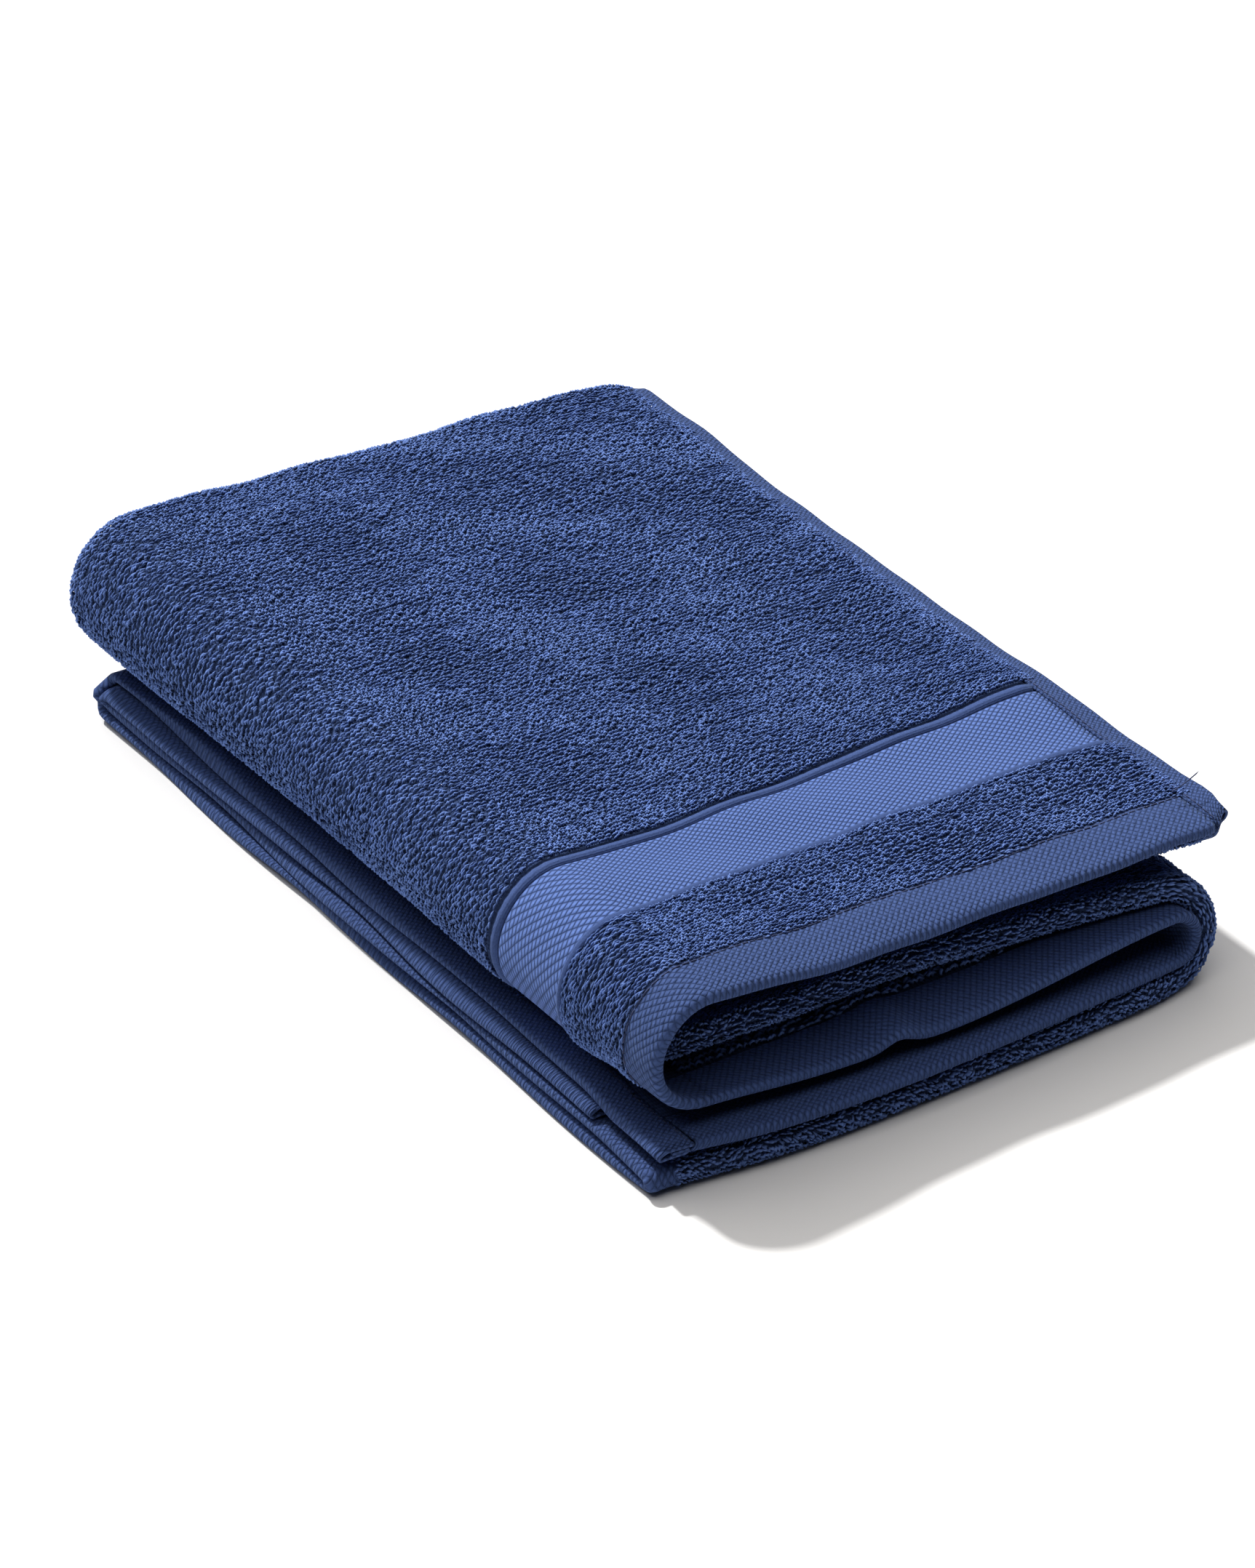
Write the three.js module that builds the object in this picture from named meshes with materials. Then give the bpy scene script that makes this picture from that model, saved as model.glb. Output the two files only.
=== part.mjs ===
// A terry bath towel, folded in quarters along its length and then in three panels across its width, as it
// lies on a shelf. Millimetres, +Z up. The origin is on the surface it lies on, under the middle of the stack.
// +X runs along the short side towards the open edge of the top panel, +Y along the long side away from the
// end hem. The whole cloth is one strip folded in two steps:
//   1. along its length, in the (y, t) plane, into a pad of four layers: `a` outside, then `a2`, `b` and `c`;
//   2. across its width, in the (x, z) plane, the pad is bent along a path of five legs: top panel, left roll,
//      middle panel, right fold and bottom panel.
// Each solid is an outline in (y, t), extruded along the path length s and then bent with the pad.
import * as THREE from "three";

// Driving dimensions.
const stackWidth = 240; // outside, along X
const stackLength = 368; // outside, along Y
const clothThickness = 4.6; // ground weave with its loops on both faces
const layerGap = 0.7; // between two layers of one pad
const padGap = 0.6; // between two pads that lie on each other
const rollHollow = 6; // inner radius of the left roll, which stands open
const rightInset = 4; // how far the right fold stays behind the top panel's edge
const nearFoldInset = 7; // how far the near fold of `b` and `c` stays behind the end hem
const innerEndInset = 14; // how far the towel's second end stays behind the first
const hingeSetback = 24; // flat stretch of the top pad that stays with the roll when the panel turns up

// Woven zones, from the end of the towel inwards, and the hem along each side.
const endHemWidth = 18;
const endStripWidth = 38;
const borderWidth = 45;
const sideHemWidth = 12;
const weaveGap = 0.3; // between two zones that are modelled as separate solids
const threadSize = 0.6;
const seamWidth = threadSize + 2 * weaveGap; // the groove that a row of stitches lies in
const tailLength = 12; // the loose end of the sewing thread

const foldSegments = 8; // facets of a half turn in the (y, t) plane
const bendSegments = 10; // facets of a half turn in the (x, z) plane

const layers = 4;
const pitch = clothThickness + layerGap;
const padThickness = layers * clothThickness + (layers - 1) * layerGap;
const halfCloth = clothThickness / 2;

const materials = {
  terry: new THREE.MeshStandardMaterial({ color: 0x33508f, roughness: 1, metalness: 0 }),
  border: new THREE.MeshStandardMaterial({ color: 0x45609f, roughness: 0.9, metalness: 0 }),
  hem: new THREE.MeshStandardMaterial({ color: 0x4a66a6, roughness: 0.9, metalness: 0 }),
  thread: new THREE.MeshStandardMaterial({ color: 0x24365f, roughness: 0.7, metalness: 0 }),
};

// A path in a plane, made of straight and round legs that follow each other. A leg's turn is positive to the
// left. at(distance) gives the point and the heading there.
class Path {
  constructor(x, y, heading) {
    this.legs = [];
    this.end = { x, y, heading };
    this.length = 0;
  }

  line(length) {
    return this.addLeg({ length, curvature: 0 });
  }

  arc(radius, turn) {
    return this.addLeg({ length: radius * Math.abs(turn), curvature: Math.sign(turn) / radius });
  }

  addLeg(leg) {
    const whole = { ...leg, ...this.end, from: this.length };
    this.legs.push(whole);
    this.length += leg.length;
    this.end = Path.along(whole, leg.length);
    return this;
  }

  static along({ x, y, heading, curvature }, distance) {
    if (curvature === 0)
      return { x: x + distance * Math.cos(heading), y: y + distance * Math.sin(heading), heading };
    const next = heading + distance * curvature;
    return {
      x: x + (Math.sin(next) - Math.sin(heading)) / curvature,
      y: y - (Math.cos(next) - Math.cos(heading)) / curvature,
      heading: next,
    };
  }

  at(distance) {
    const leg = this.legs.findLast(({ from }) => distance >= from) ?? this.legs[0];
    return Path.along(leg, distance - leg.from);
  }

  // The distances from start to end where a faceted copy has its corners.
  stations(start, end, segmentsPerHalfTurn) {
    const found = [start];
    for (const { from, length, curvature } of this.legs) {
      const turn = length * Math.abs(curvature);
      const steps = Math.max(1, Math.ceil((turn / Math.PI) * segmentsPerHalfTurn));
      for (let i = 0; i <= steps; i++) {
        const distance = from + (length * i) / steps;
        if (distance > found.at(-1) + weaveGap && distance < end - weaveGap) found.push(distance);
      }
    }
    return [...found, end];
  }
}

// Step 1: the cloth's centre line in the (y, t) plane, from the end hem to the towel's second end. t is the
// depth in the pad, from the outer face of `a`.
const nearEnd = -stackLength / 2;
const outerTurn = ((layers - 1) * pitch) / 2;
const innerTurn = pitch / 2;
const turnCentre = stackLength / 2 - outerTurn - halfCloth;
const nearFoldCentre = nearEnd + nearFoldInset + innerTurn + halfCloth;
const cloth = new Path(nearEnd, halfCloth, 0)
  .line(turnCentre - nearEnd)
  .arc(outerTurn, Math.PI)
  .line(turnCentre - nearFoldCentre)
  .arc(innerTurn, Math.PI)
  .line(turnCentre - nearFoldCentre)
  .arc(innerTurn, -Math.PI)
  .line(turnCentre - nearEnd - innerEndInset);

// Step 2: the pad's middle line in the (x, z) plane, from the top panel's open edge to the bottom panel's.
const padMiddle = padThickness / 2;
const middlePadHeight = padThickness + padGap + padMiddle;
const rollRadius = rollHollow + padMiddle;
const roll = { x: rollHollow + padThickness - stackWidth / 2, z: middlePadHeight + rollRadius };
const foldRadius = padMiddle + padGap / 2;
const foldCentre = stackWidth / 2 - rightInset - foldRadius - padMiddle;
const openEdge = { x: stackWidth / 2, z: middlePadHeight + padThickness + padGap };
const toRoll = Math.hypot(openEdge.x - roll.x, openEdge.z - roll.z);
const edgeAbove = Math.atan2(openEdge.z - roll.z, openEdge.x - roll.x);
const topHeading = Math.PI + edgeAbove - Math.asin(rollRadius / toRoll);
const topLength = Math.sqrt(toRoll ** 2 - rollRadius ** 2);
const bend = new Path(openEdge.x, openEdge.z, topHeading)
  .line(topLength)
  .arc(rollRadius, 2 * Math.PI - topHeading)
  .line(foldCentre - roll.x)
  .arc(foldRadius, -Math.PI)
  .line(foldCentre + stackWidth / 2);

// Where the bent pad's point at path length s and depth t lies, as x and z.
function padPoint(s, t) {
  const { x, y: z, heading } = bend.at(s);
  const outwards = padMiddle - t;
  return { x: x + outwards * Math.sin(heading), z: z - outwards * Math.cos(heading) };
}

// The outline in (y, t) of the cloth from v0 to v1 along its centre line.
function clothOutline(v0, v1, thickness = clothThickness) {
  const centre = cloth.stations(v0, v1, foldSegments).map((v) => cloth.at(v));
  const side = (sign) =>
    centre.map(({ x, y, heading }) => {
      const reach = (sign * thickness) / 2;
      return new THREE.Vector2(x - reach * Math.sin(heading), y + reach * Math.cos(heading));
    });
  return new THREE.Shape([...side(-1), ...side(1).reverse()]);
}

const root = new THREE.Group();

// Adds the solid that has this outline in (y, t) from s0 to s1 along the bent pad.
function addSolid(name, outline, s0, s1, material) {
  const stations = bend.stations(s0, s1, bendSegments);
  const steps = stations.length - 1;
  const geometry = new THREE.ExtrudeGeometry(outline, { depth: steps, steps, bevelEnabled: false });
  const position = geometry.getAttribute("position");
  for (let i = 0; i < position.count; i++) {
    const { x, z } = padPoint(stations[Math.round(position.getZ(i))], position.getY(i));
    position.setXYZ(i, x, position.getX(i), z);
  }
  geometry.computeVertexNormals();
  const mesh = new THREE.Mesh(geometry, material);
  mesh.name = name;
  root.add(mesh);
}

// The stretches of the pad, each from one fold to the next. The hinge line lies between the first two.
const hinge = topLength - hingeSetback;
const [, rollLeg, middleLeg, foldLeg, bottomLeg] = bend.legs;
const firstPile = sideHemWidth + seamWidth;
const lastPile = bend.length - firstPile;
const stretches = {
  top_panel: [firstPile, hinge],
  left_roll: [hinge, rollLeg.from + rollLeg.length],
  middle_panel: [middleLeg.from, middleLeg.from + middleLeg.length],
  right_fold: [foldLeg.from, foldLeg.from + foldLeg.length],
  bottom_panel: [bottomLeg.from, lastPile],
};

// The woven zones of each end, as distances from that end.
const stripStart = endHemWidth + seamWidth;
const borderStart = stripStart + endStripWidth + weaveGap;
const pileStart = borderStart + borderWidth + weaveGap;
const endZones = {
  end_hem: [0, endHemWidth, materials.hem],
  end_strip: [stripStart, stripStart + endStripWidth, materials.terry],
  border: [borderStart, borderStart + borderWidth, materials.border],
};

for (const [stretch, [start, end]] of Object.entries(stretches)) {
  const s0 = start + weaveGap / 2;
  const s1 = end - weaveGap / 2;
  for (const [zone, [v0, v1, material]] of Object.entries(endZones))
    addSolid(`${stretch}_${zone}`, clothOutline(v0, v1), s0, s1, material);
  addSolid(`${stretch}_terry`, clothOutline(pileStart, cloth.length - pileStart), s0, s1, materials.terry);
}

// The second end is out of sight between the layers. Past the hinge it runs on through every fold.
const halves = { top: [firstPile, hinge], base: [hinge, lastPile] };
for (const [half, [start, end]] of Object.entries(halves)) {
  const s0 = start + weaveGap / 2;
  const s1 = end - weaveGap / 2;
  for (const [zone, [v0, v1, material]] of Object.entries(endZones)) {
    const outline = clothOutline(cloth.length - v1, cloth.length - v0);
    addSolid(`${half}_inner_${zone}`, outline, s0, s1, material);
  }
}

// The side hems and their rows of stitches run the whole length of the towel, through its lengthwise folds.
const sides = { top: (s) => s, bottom: (s) => bend.length - s };
const stitchStart = sideHemWidth + weaveGap;
for (const [side, fromEdge] of Object.entries(sides)) {
  const hem = [fromEdge(0), fromEdge(sideHemWidth)].sort((p, q) => p - q);
  const stitches = [fromEdge(stitchStart), fromEdge(stitchStart + threadSize)].sort((p, q) => p - q);
  addSolid(`${side}_side_hem`, clothOutline(0, cloth.length), ...hem, materials.hem);
  addSolid(`${side}_side_seam`, clothOutline(0, cloth.length, threadSize), ...stitches, materials.thread);
}

// The row of stitches that holds the end hem down, a groove between the hem and the strip of pile.
const seamMiddle = nearEnd + endHemWidth + seamWidth / 2;
const seamOutline = new THREE.Shape([
  new THREE.Vector2(seamMiddle - threadSize / 2, 0),
  new THREE.Vector2(seamMiddle + threadSize / 2, 0),
  new THREE.Vector2(seamMiddle + threadSize / 2, threadSize),
  new THREE.Vector2(seamMiddle - threadSize / 2, threadSize),
]);
for (const [half, [start, end]] of Object.entries(halves))
  addSolid(`${half}_end_seam`, seamOutline, start + weaveGap, end - weaveGap, materials.thread);

// The loose end of that row, at the corner where the open edge meets the end hem.
const tailFoot = padPoint(firstPile, -threadSize);
const tail = new THREE.QuadraticBezierCurve3(
  new THREE.Vector3(tailFoot.x, seamMiddle, tailFoot.z),
  new THREE.Vector3(tailFoot.x + tailLength / 2, seamMiddle, tailFoot.z),
  new THREE.Vector3(tailFoot.x + tailLength / 2, seamMiddle + tailLength / 4, tailFoot.z + tailLength / 2),
);
const tailSection = new THREE.Shape().absarc(0, 0, threadSize / 2, 0, 2 * Math.PI);
const threadTail = new THREE.Mesh(
  new THREE.ExtrudeGeometry(tailSection, { extrudePath: tail, steps: 6, curveSegments: 3, bevelEnabled: false }),
  materials.thread,
);
threadTail.name = "thread_tail";
root.add(threadTail);

export default root;
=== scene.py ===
"""A terry bath towel, folded in quarters along its length and in three panels across its width.

Metres, +Z up, +X towards the open edge of the top panel, +Y away from the end hem. A point of the cloth
is named by `across`, its distance from the top panel's side edge along the folded width, by `along`, its
distance from the near end hem along the folded length, and by its height off the middle of the cloth.
"""

import math

import bmesh
import bpy
import numpy as np
from bpy.props import FloatProperty, FloatVectorProperty, IntProperty, PointerProperty
from mathutils import Matrix, Vector


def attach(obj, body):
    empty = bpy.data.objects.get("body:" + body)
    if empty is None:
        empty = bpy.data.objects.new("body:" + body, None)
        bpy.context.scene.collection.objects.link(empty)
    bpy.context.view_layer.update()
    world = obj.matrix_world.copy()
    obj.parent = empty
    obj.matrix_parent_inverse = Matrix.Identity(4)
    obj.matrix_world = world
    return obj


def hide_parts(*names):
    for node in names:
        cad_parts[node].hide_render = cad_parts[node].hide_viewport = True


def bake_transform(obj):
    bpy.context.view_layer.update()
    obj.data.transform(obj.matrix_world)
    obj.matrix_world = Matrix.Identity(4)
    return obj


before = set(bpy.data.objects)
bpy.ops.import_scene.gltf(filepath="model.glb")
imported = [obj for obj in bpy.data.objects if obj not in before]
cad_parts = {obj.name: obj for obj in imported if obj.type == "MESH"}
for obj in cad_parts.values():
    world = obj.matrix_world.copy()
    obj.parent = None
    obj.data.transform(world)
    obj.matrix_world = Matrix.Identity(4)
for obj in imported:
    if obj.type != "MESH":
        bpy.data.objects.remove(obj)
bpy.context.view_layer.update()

bl_info = {
    "name": "Folded Bath Towel",
    "version": (1, 0, 0),
    "blender": (4, 5, 0),
    "location": "View3D > Sidebar > Towel",
    "description": "Builds a folded terry bath towel with rolled hems, a woven border and a looped pile",
    "category": "Add Mesh",
}

# The folded stack, as in the part's own source.
STACK_WIDTH = 0.240
STACK_LENGTH = 0.368
CLOTH = 0.0046
LAYER_GAP = 0.0007
PAD_GAP = 0.0006
ROLL_HOLLOW = 0.006
RIGHT_INSET = 0.004
NEAR_FOLD_INSET = 0.007
INNER_END_INSET = 0.014
LAYERS = 4

# Woven zones, measured from either end of the towel, and the hem along each side.
END_HEM = 0.018
STRIP_START = 0.0192
STRIP_END = 0.0572
BORDER_START = 0.0575
BORDER_END = 0.1025
PILE_START = 0.1028
SIDE_HEM = 0.012
SIDE_SEAM = 0.0132


# The cord at the border's body side with a groove behind it, and the fine lip at its other side.
CORD_LINE = BORDER_END - 0.0027
GROOVE_LINE = BORDER_END - 0.0050
LIP_LINE = BORDER_START + 0.0009


class Route:
    """A flat path of straight legs and round turns that follow each other."""

    def __init__(self, x, y, heading):
        self.legs = []
        self.end = (x, y, heading)
        self.length = 0.0

    def line(self, length):
        return self.leg(length, 0.0)

    def turn(self, radius, angle):
        return self.leg(radius * abs(angle), math.copysign(1 / radius, angle))

    def leg(self, length, bend):
        self.legs.append((self.length, *self.end, bend))
        self.length += length
        self.end = tuple(float(value[0]) for value in self.at(np.array([self.length])))
        return self

    def at(self, distance):
        """The x, the y and the heading at each distance."""
        table = np.array(self.legs)
        which = np.clip(np.searchsorted(table[:, 0], distance, side="right") - 1, 0, None)
        start, x, y, heading, bend = table[which].T
        run = distance - start
        turned = heading + run * bend
        straight = np.abs(bend) < 1e-9
        safe = np.where(straight, 1.0, bend)
        step_x = np.where(straight, run * np.cos(heading), (np.sin(turned) - np.sin(heading)) / safe)
        step_y = np.where(straight, run * np.sin(heading), (np.cos(heading) - np.cos(turned)) / safe)
        return x + step_x, y + step_y, turned

    def stations(self, start, end, step, per_half_turn):
        """Distances from start to end, close together where the path turns."""
        found = [start]
        limits = [leg[0] for leg in self.legs] + [self.length]
        for (begin, _, _, _, bend), finish in zip(self.legs, limits[1:]):
            begin, finish = max(begin, start), min(finish, end)
            if finish - begin < 1e-6:
                continue
            steps = max(math.ceil((finish - begin) / step), 1)
            steps = max(steps, math.ceil((finish - begin) * abs(bend) / math.pi * per_half_turn))
            found += list(np.linspace(begin, finish, steps + 1)[1:])
        return np.array(found)


# The cloth's middle line in the (y, depth) plane, from the near end hem to the towel's second end. The four
# layers of a pad are, from its outer face, the hem layer, the end layer, and the two of the near fold.
PITCH = CLOTH + LAYER_GAP
PAD = LAYERS * CLOTH + (LAYERS - 1) * LAYER_GAP
HALF = CLOTH / 2
NEAR_END = -STACK_LENGTH / 2
OUTER_TURN = (LAYERS - 1) * PITCH / 2
INNER_TURN = PITCH / 2
TURN_CENTRE = STACK_LENGTH / 2 - OUTER_TURN - HALF
NEAR_FOLD_CENTRE = NEAR_END + NEAR_FOLD_INSET + INNER_TURN + HALF
lengthwise = (
    Route(NEAR_END, HALF, 0.0)
    .line(TURN_CENTRE - NEAR_END)
    .turn(OUTER_TURN, math.pi)
    .line(TURN_CENTRE - NEAR_FOLD_CENTRE)
    .turn(INNER_TURN, math.pi)
    .line(TURN_CENTRE - NEAR_FOLD_CENTRE)
    .turn(INNER_TURN, -math.pi)
    .line(TURN_CENTRE - NEAR_END - INNER_END_INSET)
)
FAR_FOLD, BACK_LEG, NEAR_FOLD, FORTH_LEG, SECOND_TURN = (leg[0] for leg in lengthwise.legs[1:6])

# The pad's middle line in the (x, z) plane, from the top panel's open edge to the bottom panel's.
PAD_MIDDLE = PAD / 2
MIDDLE_HEIGHT = PAD + PAD_GAP + PAD_MIDDLE
ROLL_RADIUS = ROLL_HOLLOW + PAD_MIDDLE
ROLL_X = ROLL_HOLLOW + PAD - STACK_WIDTH / 2
FOLD_RADIUS = PAD_MIDDLE + PAD_GAP / 2
FOLD_X = STACK_WIDTH / 2 - RIGHT_INSET - FOLD_RADIUS - PAD_MIDDLE
EDGE_X = STACK_WIDTH / 2
EDGE_Z = MIDDLE_HEIGHT + PAD + PAD_GAP
EDGE_ABOVE = math.atan2(EDGE_Z - MIDDLE_HEIGHT - ROLL_RADIUS, EDGE_X - ROLL_X)
TO_ROLL = math.hypot(EDGE_X - ROLL_X, EDGE_Z - MIDDLE_HEIGHT - ROLL_RADIUS)
TOP_HEADING = math.pi + EDGE_ABOVE - math.asin(ROLL_RADIUS / TO_ROLL)
TOP_LEG = math.sqrt(TO_ROLL**2 - ROLL_RADIUS**2)
widthwise = (
    Route(EDGE_X, EDGE_Z, TOP_HEADING)
    .line(TOP_LEG)
    .turn(ROLL_RADIUS, 2 * math.pi - TOP_HEADING)
    .line(FOLD_X - ROLL_X)
    .turn(FOLD_RADIUS, -math.pi)
    .line(FOLD_X + STACK_WIDTH / 2)
)
MIDDLE_LEG, FOLD_LEG, BOTTOM_LEG = (leg[0] for leg in widthwise.legs[2:])
ACROSS = widthwise.length
ALONG = lengthwise.length
FLAT_UPPER = (MIDDLE_LEG, ALONG)
FLAT_LOWER = (ACROSS - MIDDLE_LEG, ALONG)
# The cloth is modelled in two stretches that meet where the left roll runs into the middle panel.
STRETCHES = {"upper": (SIDE_SEAM, MIDDLE_LEG), "lower": (MIDDLE_LEG, ACROSS - SIDE_SEAM)}


class TowelSizes(bpy.types.PropertyGroup):
    """Sizes of the cloth's own structure."""

    loop_pitch: FloatProperty(
        name="Loop pitch",
        description="From loop to loop in a row",
        default=0.00130,
        unit="LENGTH",
    )
    row_pitch: FloatProperty(
        name="Row pitch",
        description="From one row of loops to the next",
        default=0.00173,
        unit="LENGTH",
    )
    ground: FloatProperty(
        name="Ground",
        description="Thickness of the ground weave under the pile",
        default=0.0015,
        unit="LENGTH",
    )
    border: FloatProperty(
        name="Border",
        description="Thickness of the woven border",
        default=0.0024,
        unit="LENGTH",
    )
    hem_ply: FloatProperty(
        name="Hem ply",
        description="Thickness of one ply of a hem",
        default=0.001,
        unit="LENGTH",
    )
    stitch: FloatProperty(
        name="Stitch",
        description="Length of a stitch",
        default=0.003,
        unit="LENGTH",
    )
    seed: IntProperty(name="Seed", description="Start of every random draw", default=7, min=0)


class TowelColours(bpy.types.PropertyGroup):
    """Colours of the dyed cotton and of the stage."""

    loops: FloatVectorProperty(
        name="Loops",
        description="Cotton of the pile",
        subtype="COLOR",
        size=3,
        default=(0.150, 0.232, 0.500),
    )
    weave: FloatVectorProperty(
        name="Weave",
        description="Flat weave of border and hems",
        subtype="COLOR",
        size=3,
        default=(0.094, 0.148, 0.345),
    )
    thread: FloatVectorProperty(
        name="Thread",
        description="Sewing thread",
        subtype="COLOR",
        size=3,
        default=(0.030, 0.045, 0.120),
    )
    floor: FloatVectorProperty(
        name="Floor",
        description="Paper that the towel lies on",
        subtype="COLOR",
        size=3,
        default=(0.81, 0.807, 0.802),
    )


def smooth(start, end, value):
    """0 before start and 1 after end, with a soft change between them."""
    part = np.clip((value - start) / (end - start), 0, 1)
    return part * part * (3 - 2 * part)


def eased(value, knots, heights, blur=0.02):
    """A soft curve through heights at these knots."""
    fine = np.linspace(-0.05, 0.8, 1701)
    line = np.interp(fine, knots, heights)
    reach = np.arange(-3 * blur, 3 * blur, fine[1] - fine[0])
    weight = np.exp(-((reach / blur) ** 2))
    padded = np.pad(line, len(weight) // 2, mode="edge")[: len(fine) + len(weight) - 1]
    return np.interp(value, fine, np.convolve(padded, weight / weight.sum(), "valid"))


def ripple(x, y, seed, size):
    """Smooth waves of about this size, from -1 to 1, the same for the same seed."""
    draw = np.random.default_rng(seed)
    total = 0.0
    for _ in range(5):
        angle, phase, scale = draw.uniform(0, math.pi), draw.uniform(0, 2 * math.pi), draw.uniform(0.7, 1.5)
        way = (x * math.cos(angle) + y * math.sin(angle)) * 2 * math.pi / (size * scale)
        total = total + np.sin(way + phase) / 5
    return total * 1.6


# How far the lines of the weave stray from true, at these distances across. The knots run from the open edge
# over the top panel and the roll to the middle panel, the right fold and the bottom panel's free edge.
KNOTS = (0.0, 0.05, 0.11, 0.17, 0.21, 0.265, 0.30, 0.36, 0.45, 0.49, 0.53, 0.60, 0.66, 0.70)
HEM_EDGE = (
    0.006, 0.007, 0.010, 0.012, 0.014, 0.016, 0.010, 0.004, 0.002, -0.001, -0.003, -0.003, 0.004, 0.011
)
HEM_SEAM = (0.010, 0.011, 0.014, 0.015, 0.014, 0.014, 0.010, 0.004, 0.002, 0.0, -0.002, -0.002, 0.004, 0.010)
STRIP_EDGE = (0.008, 0.008, 0.007, 0.007, 0.006, 0.006, 0.004, 0.003, 0.001, 0.0, 0.0, 0.0, 0.002, 0.004)
BORDER_EDGE = (0.009, 0.006, 0.001, 0.0, 0.002, 0.003, 0.002, 0.002, 0.0, 0.0, 0.0, 0.0, 0.001, 0.002)
# The near folds of the two inner layers, and the far end of every layer.
FOLD_EDGE = (
    0.010, 0.012, 0.015, 0.019, 0.024, 0.026, 0.022, 0.018, 0.002, -0.012, -0.010, -0.009, -0.004, 0.004
)
FAR_EDGE = (0.005, 0.011, 0.014, 0.015, 0.016, 0.016, 0.011, 0.006, 0.002, 0.0, 0.0, 0.001, 0.001, 0.001)
# How far the hem layer moves into the room that the second end leaves, at its root and at its front edge.
HEM_SETTLE = (
    0.002, 0.003, 0.003, 0.003, 0.002, 0.002, 0.004, 0.0050, 0.0060, 0.005, 0.003, 0.003, 0.003, 0.002
)
HEM_DROOP = (
    0.0005, 0.003, 0.004, 0.004, 0.003, 0.001, -0.004, -0.0065, 0.0005, 0.0015, 0.001, 0.0015, 0.001, 0.0
)
HEM_WAVE_ACROSS, HEM_WAVE_WIDTH, HEM_WAVE = 0.338, 0.007, 0.0035
SECOND_END_BACK = 0.030

# How the edges of the folded stack leave the true fold.
OVERHANG, FAR_OVERHANG = 0.0080, 0.002
EDGE_TUCK, EDGE_SAG, SAG_WAVE = 0.0012, 0.0042, 0.0008
CORNER_TUCK, CORNER_PULL, CORNER_LIFT = 0.0042, 0.0048, 0.0015
FAR_SPREAD, FAR_ROLL_TUCK, FAR_LIFT = 0.0025, 0.0030, 0.0022
FREE_WAVE, FREE_SPREAD, FREE_LIFT = 0.0016, 0.0048, 0.0007
FLOOR_CLEARANCE = 0.0003


def settle(x, y, z):
    """The give of soft cloth: long waves that grow with the height of the stack."""
    rise = smooth(0.012, 0.07, z)
    lift = 0.0012 * ripple(x, y, 3, 0.11) + 0.0008 * ripple(x, y, 5, 0.045)
    z = z + rise * lift
    x = x + rise * 0.0010 * ripple(y, z, 11, 0.12)
    y = y + 0.0006 * ripple(x, z, 13, 0.07)
    return x, y, z


def lay_lengthwise(across, along, height):
    """The y and the depth in its pad of each point, with the lines of its zones out of true."""
    y, depth, way = lengthwise.at(along)
    y = y + height * np.sin(way)
    depth = depth - height * np.cos(way)
    hem_layer = along < FAR_FOLD + OUTER_TURN
    end_layer = along > SECOND_TURN + INNER_TURN
    rows = np.array([eased(across, KNOTS, edge) for edge in (HEM_EDGE, HEM_SEAM, STRIP_EDGE, BORDER_EDGE)])
    lines = np.array([0.0, END_HEM, STRIP_END, PILE_START, 0.17]) + NEAR_END
    rows = np.vstack([rows, np.zeros_like(rows[:1])])
    place = np.clip(np.searchsorted(lines, y) - 1, 0, 3)
    part = np.clip((y - lines[place]) / (lines[place + 1] - lines[place]), 0, 1)
    pick = np.arange(len(across))
    hem_shift = rows[place, pick] * (1 - part) + rows[place + 1, pick] * part
    near = smooth(-0.06, NEAR_END, y)
    fold_shift = near * (eased(across, KNOTS, FOLD_EDGE) + np.where(end_layer, SECOND_END_BACK, 0.0))
    root = smooth(-0.130, -0.156, y) * eased(across, KNOTS, HEM_SETTLE)
    front = np.clip((-0.160 - y) / 0.024, 0, 1.2) ** 2 * eased(across, KNOTS, HEM_DROOP)
    wave = np.exp(-(((across - HEM_WAVE_ACROSS) / HEM_WAVE_WIDTH) ** 2))
    front = front + HEM_WAVE * smooth(-0.150, NEAR_END, y) * wave
    depth = depth + np.where(hem_layer, root + front, 0.0)
    y = y + np.where(hem_layer, hem_shift, fold_shift)
    return y + smooth(0.0, STACK_LENGTH / 2, y) * eased(across, KNOTS, FAR_EDGE), depth


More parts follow.
